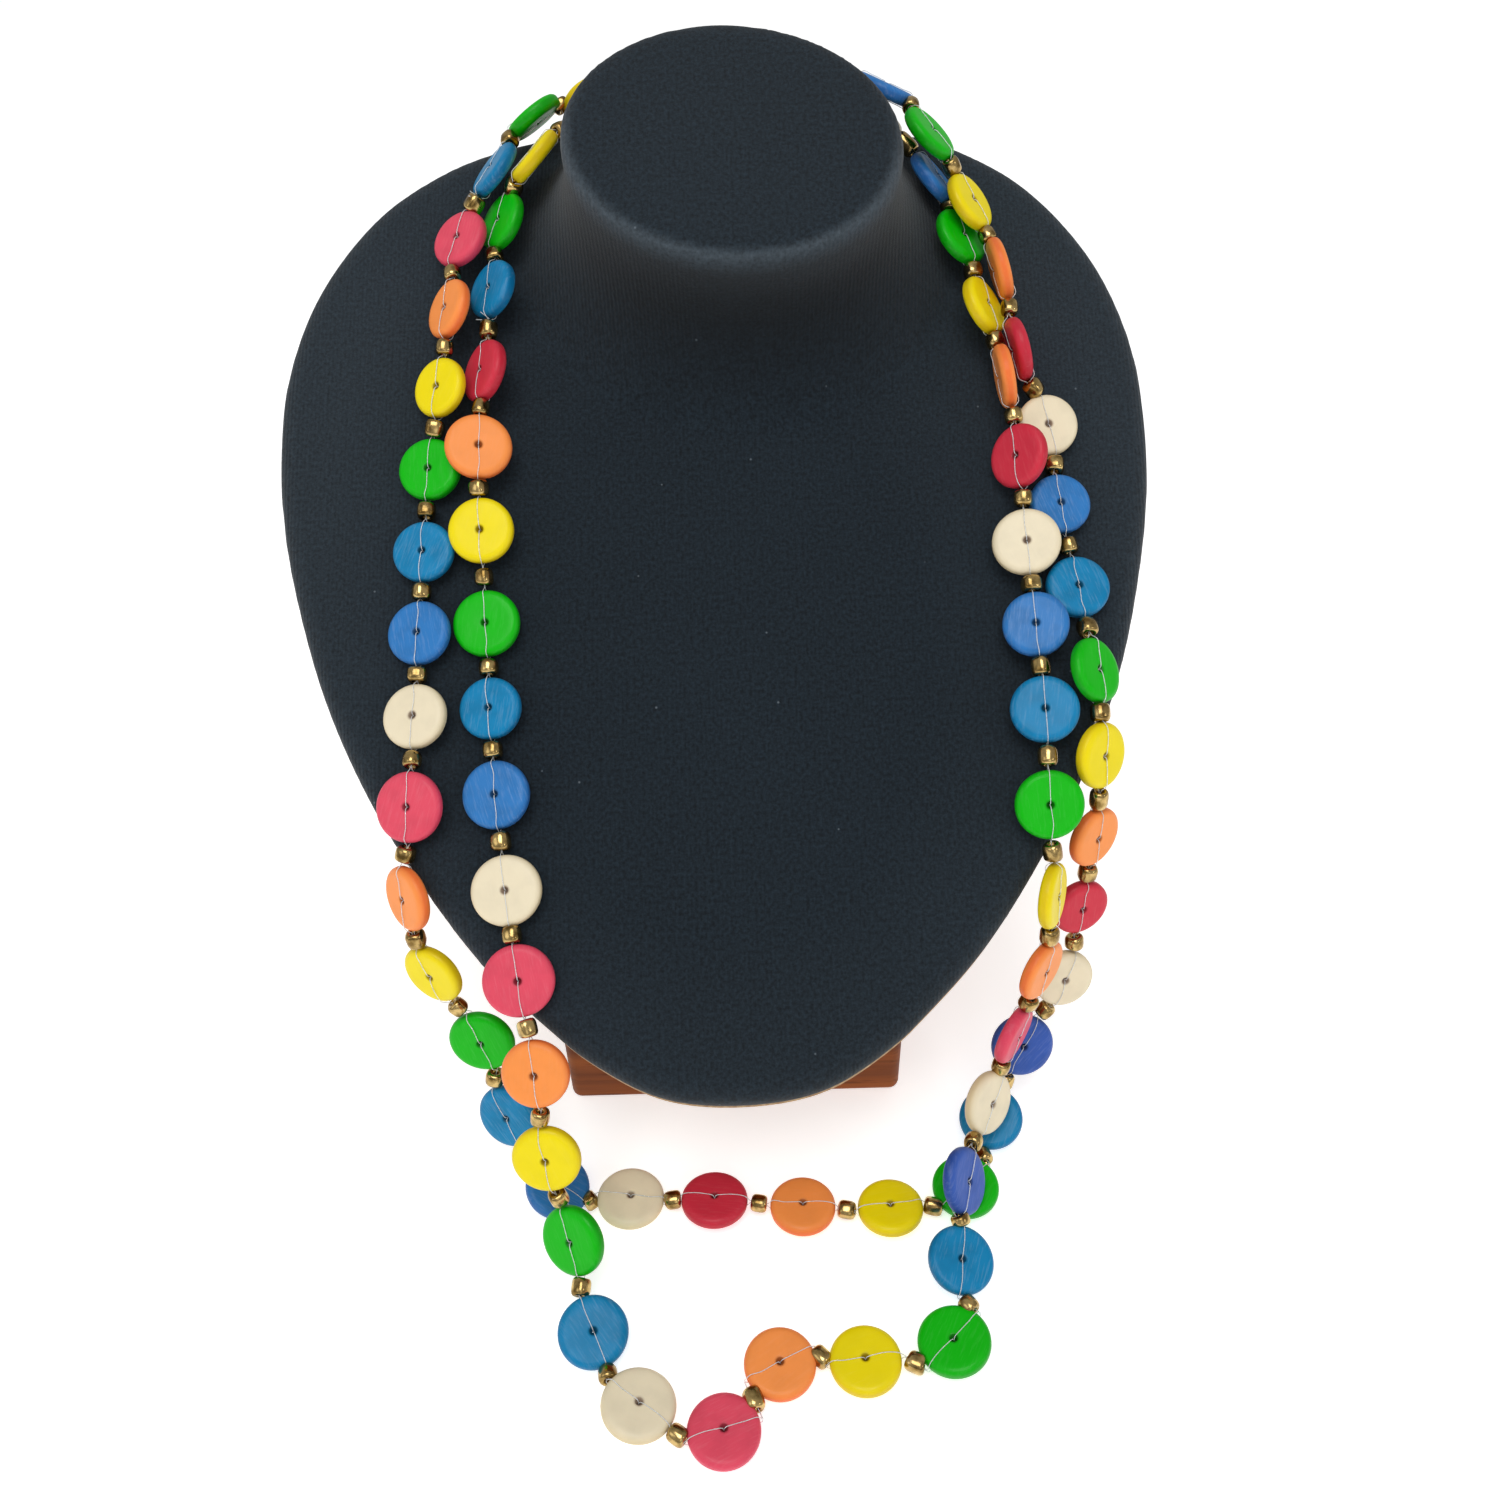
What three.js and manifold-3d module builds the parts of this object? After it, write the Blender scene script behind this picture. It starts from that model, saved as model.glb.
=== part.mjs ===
// A long necklace of dyed wooden discs and small gold spacers, worn doubled on a fabric-covered
// neck bust with a plain wooden foot. Millimetres, +Z up. The origin is the middle of the foot's
// underside; the bust leans back and faces -Y, and the lower ends of both rounds lie on the table.
import * as THREE from "three";
import { mergeVertices } from "three/addons/utils/BufferGeometryUtils.js";
import Module from "manifold-3d";

const wasm = await Module();
wasm.setup();

// The discs and spacers
const discDiameter = 15;
const discThickness = 3.2;
const discHole = 1.8;
const rimCrown = 0.4;
const discSides = 12;
const holeSides = 6;
const spacerDiameter = 4.4;
const spacerSides = 10;
const spacerSeat = 0.35;
const meetingGap = 0.7;

// The bust: a cloth-covered board that leans back and is turned a little in its own plane, with an
// oval neck that stands out of it, a little to the wearer's left of its middle and turned the other way
const boardWidth = 198;
const boardLength = 232;
const boardThickness = 12;
const boardEdgeRound = 4;
const boardSlope = THREE.MathUtils.degToRad(38.4);
const boardTurn = THREE.MathUtils.degToRad(1.2);
const apexHeight = 44.5;
const apexReach = 89.3;
const neckRise = 40;
const capWidth = 71;
const capFront = 166;
const capBack = 220.6;
const neckShift = 5.4;
const neckTurn = THREE.MathUtils.degToRad(-8);
const capEdgeRound = 1.6;
const sideFlare = 15;
const frontFlare = 17;
const backFlare = 12;
const flareCurve = 3.2;
const backFlareCurve = 1.3;
const neckSides = 28;
const outlineSteps = 44;

// The raw panel behind the bust, and the foot that carries it
const panelThickness = 2;
const panelLip = 0.8;
const footWidth = 80;
const footDepth = 110;
const footEdgeRound = 2;
const seatGap = 0.3;

// Half outline of the board, from its lowest point to its top: distance up the slope as a share of
// boardLength, and half width as a share of half boardWidth.
const boardOutline = [
  { up: 0.0, half: 0.0 },
  { up: 0.01, half: 0.173 },
  { up: 0.046, half: 0.325 },
  { up: 0.073, half: 0.4 },
  { up: 0.122, half: 0.518 },
  { up: 0.183, half: 0.63 },
  { up: 0.285, half: 0.78 },
  { up: 0.384, half: 0.884 },
  { up: 0.483, half: 0.952 },
  { up: 0.56, half: 0.987 },
  { up: 0.638, half: 1.0 },
  { up: 0.715, half: 0.988 },
  { up: 0.793, half: 0.936 },
  { up: 0.853, half: 0.858 },
  { up: 0.902, half: 0.76 },
  { up: 0.936, half: 0.648 },
  { up: 0.957, half: 0.545 },
  { up: 0.978, half: 0.36 },
  { up: 1.0, half: 0.0 },
];

// Dyes of the discs, and the gold of the spacers
const dyes = {
  green: 0x0cbb12,
  yellow: 0xeddc1c,
  orange: 0xf98f52,
  pink: 0xe8566c,
  red: 0xd03a4c,
  teal: 0x1a86b4,
  blue: 0x4180c4,
  indigo: 0x2f5aa8,
  cream: 0xefe4cb,
};
const gold = 0x9a7b45;

// The route of each round: chosen points in mm, each at the middle of a disc, and how many discs
// the thread carries from that point up to the next one.
const firstRoute = [
  { x: -8.9, y: 93.5, z: 197.7, discs: 1 },
  { x: -27, y: 87.3, z: 191.7, discs: 1 },
  { x: -40.4, y: 81.8, z: 189.3, discs: 1 },
  { x: -49, y: 69.6, z: 181.5, discs: 1 },
  { x: -57, y: 58, z: 170, discs: 1 },
  { x: -59, y: 43.5, z: 159.5, discs: 1 },
  { x: -61, y: 30, z: 147, discs: 1 },
  { x: -63.5, y: 17.5, z: 133.5, discs: 1 },
  { x: -64.5, y: 2.5, z: 121.5, discs: 2 },
  { x: -65.5, y: -26.5, z: 98.5, discs: 1 },
  { x: -66, y: -42.4, z: 86.9, discs: 1 },
  { x: -67.5, y: -53, z: 70.5, discs: 1 },
  { x: -64.5, y: -58, z: 52, discs: 1 },
  { x: -56, y: -62.5, z: 34, discs: 1 },
  { x: -51.5, y: -70, z: 16, discs: 1 },
  { x: -40.5, y: -82, z: 5.6, discs: 1 },
  { x: -24, y: -84, z: 3.1, discs: 1 },
  { x: -5, y: -85, z: 3.2, discs: 2 },
  { x: 34.5, y: -88, z: 3, discs: 1 },
  { x: 52, y: -83.5, z: 3.3, discs: 1 },
  { x: 60, y: -67.5, z: 6.2, discs: 1 },
  { x: 68, y: -56, z: 18.5, discs: 1 },
  { x: 77, y: -49, z: 34, discs: 1 },
  { x: 79.5, y: -43.5, z: 52, discs: 1 },
  { x: 80.5, y: -40.5, z: 71, discs: 1 },
  { x: 80, y: -36, z: 90.5, discs: 1 },
  { x: 79.5, y: -24, z: 104, discs: 1 },
  { x: 78, y: -6.8, z: 113.8, discs: 1 },
  { x: 75.5, y: 8.2, z: 125.8, discs: 1 },
  { x: 74, y: 22.5, z: 137.6, discs: 1 },
  { x: 68, y: 33, z: 151, discs: 1 },
  { x: 65, y: 48, z: 163.5, discs: 1 },
  { x: 59, y: 60, z: 174.5, discs: 1 },
  { x: 50, y: 67.9, z: 187.2, discs: 1 },
  { x: 40.7, y: 79.5, z: 193.8, discs: 1 },
  { x: 22.5, y: 85.7, z: 196.5, discs: 1 },
  { x: 5.5, y: 87.7, z: 197.3, discs: 0 },
];
const secondRoute = [
  { x: -13.2, y: 86.2, z: 195.3, discs: 1 },
  { x: -27, y: 79.7, z: 190.6, discs: 1 },
  { x: -39.3, y: 68, z: 184.6, discs: 1 },
  { x: -47.5, y: 61.5, z: 172.5, discs: 1 },
  { x: -49.5, y: 48, z: 162, discs: 1 },
  { x: -51, y: 32.5, z: 149.5, discs: 1 },
  { x: -52, y: 17.6, z: 138.7, discs: 2 },
  { x: -50.5, y: -10.5, z: 111, discs: 2 },
  { x: -48, y: -40, z: 87.5, discs: 2 },
  { x: -43, y: -70, z: 63, discs: 1 },
  { x: -40, y: -82.5, z: 48.5, discs: 1 },
  { x: -39, y: -91, z: 31, discs: 1 },
  { x: -34.5, y: -100, z: 14, discs: 1 },
  { x: -30, y: -115.5, z: 5, discs: 1 },
  { x: -20, y: -130, z: 3.8, discs: 1 },
  { x: -3, y: -135, z: 2.8, discs: 1 },
  { x: 8.5, y: -122, z: 2.5, discs: 1 },
  { x: 26, y: -122, z: 2.8, discs: 1 },
  { x: 44.5, y: -119, z: 3.9, discs: 1 },
  { x: 48, y: -102.5, z: 6, discs: 1 },
  { x: 50.5, y: -87, z: 11.5, discs: 1 },
  { x: 58, y: -70, z: 16, discs: 1 },
  { x: 63.5, y: -62.5, z: 31, discs: 1 },
  { x: 68, y: -59.5, z: 49.5, discs: 1 },
  { x: 69, y: -55, z: 68, discs: 1 },
  { x: 68, y: -45.5, z: 85.5, discs: 1 },
  { x: 68.2, y: -30.5, z: 99, discs: 2 },
  { x: 67, y: -1, z: 122, discs: 1 },
  { x: 66.5, y: 13.5, z: 135, discs: 1 },
  { x: 64.5, y: 28, z: 147, discs: 1 },
  { x: 61, y: 42, z: 157.5, discs: 1 },
  { x: 57, y: 56.5, z: 168, discs: 1 },
  { x: 51.5, y: 68, z: 177.5, discs: 1 },
  { x: 39.2, y: 81.3, z: 188.1, discs: 1 },
  { x: 30.5, y: 95.5, z: 192.6, discs: 1 },
  { x: 12, y: 95, z: 197.6, discs: 0 },
];

// How each disc hangs, in the order of threading: its dye, its turn about the thread in degrees,
// outwards from the neck, and its diameter as a share of discDiameter.
const firstChart = [
  ["orange", 90, 0.95],
  ["yellow", 84, 0.95],
  ["green", 64, 0.97],
  ["teal", 52, 0.95],
  ["pink", 26, 0.92],
  ["orange", 44, 0.92],
  ["yellow", 28, 0.91],
  ["green", 8, 0.94],
  ["teal", 6, 0.92],
  ["blue", 12, 0.95],
  ["cream", 12, 0.95],
  ["pink", 14, 1.0],
  ["orange", 46, 0.96],
  ["yellow", 40, 0.96],
  ["green", 20, 1.0],
  ["teal", 30, 0.99],
  ["blue", 0, 0.98],
  ["cream", -4, 1.02],
  ["red", -10, 1.0],
  ["orange", -6, 0.98],
  ["yellow", -8, 0.98],
  ["green", 0, 1.0],
  ["teal", 0, 0.98],
  ["indigo", 16, 0.99],
  ["cream", 20, 0.94],
  ["red", 22, 0.9],
  ["orange", 36, 0.93],
  ["yellow", 36, 0.95],
  ["green", 38, 0.95],
  ["teal", 2, 0.93],
  ["blue", 2, 0.9],
  ["cream", 2, 0.92],
  ["red", 83, 0.95],
  ["orange", 80, 0.94],
  ["yellow", 44, 0.93],
  ["green", 47, 0.95],
  ["blue", 52, 0.95],
  ["cream", 82, 0.95],
  ["pink", 90, 0.95],
];
const secondChart = [
  ["red", 88, 0.95],
  ["orange", 78, 0.95],
  ["yellow", 58, 0.94],
  ["green", 42, 0.91],
  ["teal", 40, 0.91],
  ["red", 46, 0.95],
  ["orange", -12, 0.98],
  ["yellow", 4, 0.97],
  ["green", 6, 0.98],
  ["teal", 10, 0.91],
  ["blue", 8, 0.98],
  ["cream", 6, 1.0],
  ["pink", 0, 1.0],
  ["orange", 10, 0.96],
  ["yellow", 10, 0.98],
  ["green", 32, 1.01],
  ["teal", 0, 0.98],
  ["cream", -10, 1.02],
  ["pink", -2, 0.99],
  ["orange", 3, 0.99],
  ["yellow", -4, 0.99],
  ["green", -8, 1.01],
  ["teal", 10, 0.96],
  ["indigo", 46, 0.97],
  ["cream", 46, 0.98],
  ["pink", 66, 0.94],
  ["orange", 54, 0.95],
  ["yellow", 62, 0.96],
  ["green", -4, 0.97],
  ["teal", -6, 0.97],
  ["blue", -10, 0.95],
  ["cream", -8, 0.99],
  ["red", -48, 0.95],
  ["orange", 82, 0.94],
  ["yellow", 50, 0.93],
  ["green", 38, 0.93],
  ["blue", 54, 0.93],
  ["cream", 50, 0.95],
  ["pink", 80, 0.95],
  ["orange", 90, 0.95],
];

const vertical = new THREE.Vector3(0, 0, 1);
const boardNormal = new THREE.Vector3(0, -Math.sin(boardSlope), Math.cos(boardSlope));

// A closed geometry as a solid with a colour at each vertex.
function solidOf(geometry, colour = 0xffffff) {
  const plain = geometry.clone();
  plain.deleteAttribute("normal");
  plain.deleteAttribute("uv");
  const merged = mergeVertices(plain, 1e-4);
  const { r, g, b } = new THREE.Color(colour);
  const places = merged.attributes.position;
  const rows = [];
  for (let i = 0; i < places.count; i += 1) {
    rows.push(places.getX(i), places.getY(i), places.getZ(i), r, g, b);
  }
  const vertProperties = new Float32Array(rows);
  const triVerts = new Uint32Array(merged.index.array);
  return new wasm.Manifold(new wasm.Mesh({ numProp: 6, vertProperties, triVerts }));
}

// A solid back as a geometry with vertex colours.
function geometryOf(solid) {
  const mesh = solid.getMesh();
  const rows = new THREE.InterleavedBuffer(mesh.vertProperties, mesh.numProp);
  const geometry = new THREE.BufferGeometry();
  geometry.setAttribute("position", new THREE.InterleavedBufferAttribute(rows, 3, 0));
  geometry.setAttribute("color", new THREE.InterleavedBufferAttribute(rows, 3, 3));
  geometry.setIndex(new THREE.BufferAttribute(mesh.triVerts, 1));
  return geometry;
}

// A round piece about the Y axis from its half profile of [radius, height] pairs.
function turned(profile, sides) {
  const points = profile.map(([radius, height]) => new THREE.Vector2(radius, height));
  return new THREE.LatheGeometry(points, sides);
}

// A disc with a crowned rim, its faces square to Y and its hole along Y.
function discSolid(diameter, colour) {
  const radius = diameter / 2;
  const half = discThickness / 2;
  const profile = [
    [0, -half],
    [radius - rimCrown, -half],
    [radius, 0],
    [radius - rimCrown, half],
    [0, half],
  ];
  const drill = [
    [0, -discThickness],
    [discHole / 2, -discThickness],
    [discHole / 2, discThickness],
    [0, discThickness],
  ];
  return solidOf(turned(profile, discSides), colour).subtract(solidOf(turned(drill, holeSides), colour));
}

// A short tube-shaped spacer along Y; its bore is filled by the thread.
function spacerSolid(length) {
  const profile = [
    [0, -length / 2],
    [spacerDiameter / 2, -length / 2],
    [spacerDiameter / 2, length / 2],
    [0, length / 2],
  ];
  return solidOf(turned(profile, spacerSides), gold);
}

// The middles of the discs: one on each route point, the others at equal steps between.
function discPlaces(route) {
  const points = route.map(({ x, y, z }) => new THREE.Vector3(x, y, z));
  const curve = new THREE.CatmullRomCurve3(points, false, "centripetal");
  const spans = route.length - 1;
  return route.flatMap(({ discs }, i) =>
    Array.from({ length: Math.max(discs, 1) }, (_, k) =>
      curve.getPoint(Math.min((i + k / Math.max(discs, 1)) / spans, 1)),
    ),
  );
}

// Where each disc sits and how it is turned about the thread.
function stationsOf(route, chart) {
  const places = discPlaces(route);
  return places.map((place, i) => {
    const [dye, turn, share] = chart[i];
    const before = places[Math.max(i - 1, 0)];
    const after = places[Math.min(i + 1, places.length - 1)];
    const thread = after.clone().sub(before).normalize();
    const lies = place.z < discDiameter / 2;
    const side = thread.clone().cross(lies ? vertical : boardNormal).normalize();
    const face = side.clone().cross(thread).applyAxisAngle(thread, THREE.MathUtils.degToRad(turn));
    return { place, thread, face, dye, diameter: share * discDiameter };
  });
}

// The point where the thread enters (-1) or leaves (+1) the rim of a disc.
function rimPoint({ place, thread, diameter }, way) {
  return place.clone().addScaledVector(thread, (way * diameter) / 2);
}

function placedDisc({ place, thread, face, dye, diameter }) {
  const turn = new THREE.Matrix4().makeBasis(thread, face, thread.clone().cross(face));
  const disc = discSolid(diameter, dyes[dye]);
  return disc.transform(turn.setPosition(place).toArray());
}

// A spacer from one rim to the next, seated a little in each; its far end may stop short instead.
function placedSpacer(from, to, farSeat = spacerSeat) {
  const start = rimPoint(from, 1);
  const end = rimPoint(to, -1);
  const run = end.clone().sub(start);
  const length = run.length() + spacerSeat + farSeat;
  const along = run.normalize();
  const middle = start.addScaledVector(along, length / 2 - spacerSeat);
  const turn = new THREE.Quaternion().setFromUnitVectors(new THREE.Vector3(0, 1, 0), along);
  const matrix = new THREE.Matrix4().compose(middle, turn, new THREE.Vector3(1, 1, 1));
  return spacerSolid(length).transform(matrix.toArray());
}

// One round of the rope as one body: its last spacer ends just short of the next round's first disc.
function roundGeometry(stations, nextStations) {
  const discs = stations.map(placedDisc);
  const spacers = stations.slice(1).map((station, i) => placedSpacer(stations[i], station));
  const last = placedSpacer(stations[stations.length - 1], nextStations[0], -meetingGap);
  return geometryOf(wasm.Manifold.union([...discs, ...spacers, last]));
}

// The board's whole outline: X across, Y up the slope from its lowest point.
function outlineShape(lip = 0) {
  const right = boardOutline.map(
    ({ up, half }) => new THREE.Vector3((half * boardWidth) / 2, up * boardLength, 0),
  );
  const left = right.slice(1, -1).reverse();
  const loop = [...right, ...left.map(({ x, y }) => new THREE.Vector3(-x, y, 0))];
  const curve = new THREE.CatmullRomCurve3(loop, true, "centripetal");
  const points = curve.getSpacedPoints(outlineSteps).slice(0, -1);
  const middle = new THREE.Vector2(0, boardLength / 2);
  const grow = 1 + lip / (boardWidth / 2);
  return new THREE.Shape(
    points.map(({ x, y }) =>
      new THREE.Vector2(x, y).sub(middle).multiplyScalar(grow).add(middle).rotateAround(middle, boardTurn),
    ),
  );
}

// The covered board, its front face in the plane Z = 0.
function boardGeometry() {
  const geometry = new THREE.ExtrudeGeometry(outlineShape(), {
    depth: boardThickness - 2 * boardEdgeRound,
    bevelThickness: boardEdgeRound,
    bevelSize: boardEdgeRound,
    bevelOffset: -boardEdgeRound,
    bevelSegments: 2,
  });
  return geometry.translate(0, 0, boardEdgeRound - boardThickness);
}

// The neck as rings that flare into the board: { lift } above it, with each ring's reach.
function neckRings() {
  const steps = [0, 0.06, 0.13, 0.22, 0.34, 0.5, 0.7, 1 - capEdgeRound / neckRise, 1];
  const rings = steps.map((step) => {
    const inset = step === 1 ? capEdgeRound : 0;
    const flare = (1 - step) ** flareCurve;
    return {
      lift: step * neckRise,
      half: capWidth / 2 + sideFlare * flare - inset,
      front: capFront - frontFlare * flare + inset,
      back: capBack + backFlare * (1 - step) ** backFlareCurve - inset,
    };
  });
  return [{ ...rings[0], lift: -boardThickness / 2 }, ...rings];
}

// A closed solid through elliptical rings.
function neckGeometry() {
  const rings = neckRings();
  const positions = rings.flatMap(({ lift, half, front, back }) =>
    Array.from({ length: neckSides }, (_, k) => {
      const angle = (2 * Math.PI * k) / neckSides;
      const middle = new THREE.Vector2(neckShift, (front + back) / 2);
      const reach = new THREE.Vector2(half * Math.cos(angle), ((back - front) / 2) * Math.sin(angle));
      const { x, y } = reach.rotateAround(new THREE.Vector2(), neckTurn).add(middle);
      return [x, y, lift];
    }).flat(),
  );
  const indices = [];
  for (let ring = 0; ring < rings.length - 1; ring += 1) {
    for (let k = 0; k < neckSides; k += 1) {
      const a = ring * neckSides + k;
      const b = ring * neckSides + ((k + 1) % neckSides);
      indices.push(a, b, b + neckSides, a, b + neckSides, a + neckSides);
    }
  }
  const top = (rings.length - 1) * neckSides;
  for (let k = 1; k < neckSides - 1; k += 1) {
    indices.push(0, k + 1, k);
    indices.push(top, top + k, top + k + 1);
  }
  const geometry = new THREE.BufferGeometry();
  geometry.setAttribute("position", new THREE.Float32BufferAttribute(positions, 3));
  geometry.setIndex(indices);
  return geometry;
}

function panelGeometry() {
  const geometry = new THREE.ExtrudeGeometry(outlineShape(panelLip), {
    depth: panelThickness,
    bevelEnabled: false,
  });
  return geometry.translate(0, 0, -boardThickness - seatGap - panelThickness);
}

// The foot: a block whose top follows the back of the panel.
function footGeometry() {
  const seatDrop = (boardThickness + panelThickness + 2 * seatGap) / Math.cos(boardSlope);
  const seatHeight = (y) => apexHeight + (y + apexReach) * Math.tan(boardSlope) - seatDrop;
  const profile = new THREE.Shape([
    new THREE.Vector2(-footDepth / 2, 0),
    new THREE.Vector2(footDepth / 2, 0),
    new THREE.Vector2(footDepth / 2, seatHeight(footDepth / 2)),
    new THREE.Vector2(-footDepth / 2, seatHeight(-footDepth / 2)),
  ]);
  const geometry = new THREE.ExtrudeGeometry(profile, {
    depth: footWidth - 2 * footEdgeRound,
    bevelThickness: footEdgeRound,
    bevelSize: footEdgeRound,
    bevelOffset: -footEdgeRound,
    bevelSegments: 2,
  });
  geometry.translate(0, 0, footEdgeRound - footWidth / 2);
  return geometry.rotateX(Math.PI / 2).rotateZ(Math.PI / 2);
}

function namedMesh(name, geometry, material) {
  const mesh = new THREE.Mesh(geometry, new THREE.MeshStandardMaterial(material));
  mesh.name = name;
  return mesh;
}

const necklace = new THREE.Group();

const bust = new THREE.Group();
bust.position.set(0, -apexReach, apexHeight);
bust.rotation.x = boardSlope;
const bustSolid = solidOf(boardGeometry()).add(solidOf(neckGeometry()));
bust.add(namedMesh("bust_form", geometryOf(bustSolid), { color: 0x232b33, roughness: 0.95 }));
bust.add(namedMesh("back_panel", panelGeometry(), { color: 0xc8a888, roughness: 0.8 }));
necklace.add(bust);
necklace.add(namedMesh("wooden_foot", footGeometry(), { color: 0x8c4a2b, roughness: 0.6 }));

const firstStations = stationsOf(firstRoute, firstChart);
const secondStations = stationsOf(secondRoute, secondChart);
const beadFinish = { vertexColors: true, roughness: 0.45 };
const firstGeometry = roundGeometry(firstStations, secondStations);
const secondGeometry = roundGeometry(secondStations, firstStations);
necklace.add(namedMesh("first_round", firstGeometry, beadFinish));
necklace.add(namedMesh("second_round", secondGeometry, beadFinish));

export default necklace;
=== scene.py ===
"""A long necklace of dyed wooden discs and gold spacers, worn doubled on a cloth-covered neck bust
with a wooden foot. Lengths in the tables are in millimetres; every mesh is made in metres."""

import math
import random

import bmesh
import bpy
from mathutils import Matrix, Quaternion, Vector


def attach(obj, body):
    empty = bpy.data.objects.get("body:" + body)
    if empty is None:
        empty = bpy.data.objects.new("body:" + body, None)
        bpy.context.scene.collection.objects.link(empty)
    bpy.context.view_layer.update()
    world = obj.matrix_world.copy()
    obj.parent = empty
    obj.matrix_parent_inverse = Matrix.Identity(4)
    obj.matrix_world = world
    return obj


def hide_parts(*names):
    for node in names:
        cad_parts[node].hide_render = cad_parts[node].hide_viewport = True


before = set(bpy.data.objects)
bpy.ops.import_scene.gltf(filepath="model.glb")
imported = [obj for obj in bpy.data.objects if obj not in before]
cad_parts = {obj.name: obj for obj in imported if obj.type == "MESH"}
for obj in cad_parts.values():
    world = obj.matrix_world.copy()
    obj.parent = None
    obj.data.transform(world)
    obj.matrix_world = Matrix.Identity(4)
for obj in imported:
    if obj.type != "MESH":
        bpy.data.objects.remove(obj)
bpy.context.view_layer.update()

MM = 0.001
rng = random.Random(11)


# The camera, as the photograph was taken: a little above the bust and close to it

CAMERA_PLACE = (5.8, -245, 270)
CAMERA_PITCH = 40
CAMERA_ROLL = 1.57
CAMERA_LENS = 31.2
CAMERA_SENSOR = 36


def make_camera():
    """The camera, looking down at the bust and turned a little about its own axis."""
    data = bpy.data.cameras.new("camera")
    data.lens = CAMERA_LENS
    data.sensor_width = CAMERA_SENSOR
    data.clip_start = 0.01
    camera = bpy.data.objects.new("camera", data)
    bpy.context.collection.objects.link(camera)
    pitch = Matrix.Rotation(math.radians(90 - CAMERA_PITCH), 4, "X")
    roll = Matrix.Rotation(math.radians(-CAMERA_ROLL), 4, "Z")
    camera.matrix_world = Matrix.Translation(Vector(CAMERA_PLACE) * MM) @ pitch @ roll
    bpy.context.scene.camera = camera


make_camera()


# The routes of the two rounds, as in the part's source: each point is the middle of a disc, with
# the number of discs that the thread carries from it up to the next point.

FIRST_ROUTE = [
    (-8.9, 93.5, 197.7, 1),
    (-27, 87.3, 191.7, 1),
    (-40.4, 81.8, 189.3, 1),
    (-49, 69.6, 181.5, 1),
    (-57, 58, 170, 1),
    (-59, 43.5, 159.5, 1),
    (-61, 30, 147, 1),
    (-63.5, 17.5, 133.5, 1),
    (-64.5, 2.5, 121.5, 2),
    (-65.5, -26.5, 98.5, 1),
    (-66, -42.4, 86.9, 1),
    (-67.5, -53, 70.5, 1),
    (-64.5, -58, 52, 1),
    (-56, -62.5, 34, 1),
    (-51.5, -70, 16, 1),
    (-40.5, -82, 5.6, 1),
    (-24, -84, 3.1, 1),
    (-5, -85, 3.2, 2),
    (34.5, -88, 3, 1),
    (52, -83.5, 3.3, 1),
    (60, -67.5, 6.2, 1),
    (68, -56, 18.5, 1),
    (77, -49, 34, 1),
    (79.5, -43.5, 52, 1),
    (80.5, -40.5, 71, 1),
    (80, -36, 90.5, 1),
    (79.5, -24, 104, 1),
    (78, -6.8, 113.8, 1),
    (75.5, 8.2, 125.8, 1),
    (74, 22.5, 137.6, 1),
    (68, 33, 151, 1),
    (65, 48, 163.5, 1),
    (59, 60, 174.5, 1),
    (50, 67.9, 187.2, 1),
    (40.7, 79.5, 193.8, 1),
    (22.5, 85.7, 196.5, 1),
    (5.5, 87.7, 197.3, 0),
]
SECOND_ROUTE = [
    (-13.2, 86.2, 195.3, 1),
    (-27, 79.7, 190.6, 1),
    (-39.3, 68, 184.6, 1),
    (-47.5, 61.5, 172.5, 1),
    (-49.5, 48, 162, 1),
    (-51, 32.5, 149.5, 1),
    (-52, 17.6, 138.7, 2),
    (-50.5, -10.5, 111, 2),
    (-48, -40, 87.5, 2),
    (-43, -70, 63, 1),
    (-40, -82.5, 48.5, 1),
    (-39, -91, 31, 1),
    (-34.5, -100, 14, 1),
    (-30, -115.5, 5, 1),
    (-20, -130, 3.8, 1),
    (-3, -135, 2.8, 1),
    (8.5, -122, 2.5, 1),
    (26, -122, 2.8, 1),
    (44.5, -119, 3.9, 1),
    (48, -102.5, 6, 1),
    (50.5, -87, 11.5, 1),
    (58, -70, 16, 1),
    (63.5, -62.5, 31, 1),
    (68, -59.5, 49.5, 1),
    (69, -55, 68, 1),
    (68, -45.5, 85.5, 1),
    (68.2, -30.5, 99, 2),
    (67, -1, 122, 1),
    (66.5, 13.5, 135, 1),
    (64.5, 28, 147, 1),
    (61, 42, 157.5, 1),
    (57, 56.5, 168, 1),
    (51.5, 68, 177.5, 1),
    (39.2, 81.3, 188.1, 1),
    (30.5, 95.5, 192.6, 1),
    (12, 95, 197.6, 0),
]
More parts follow.
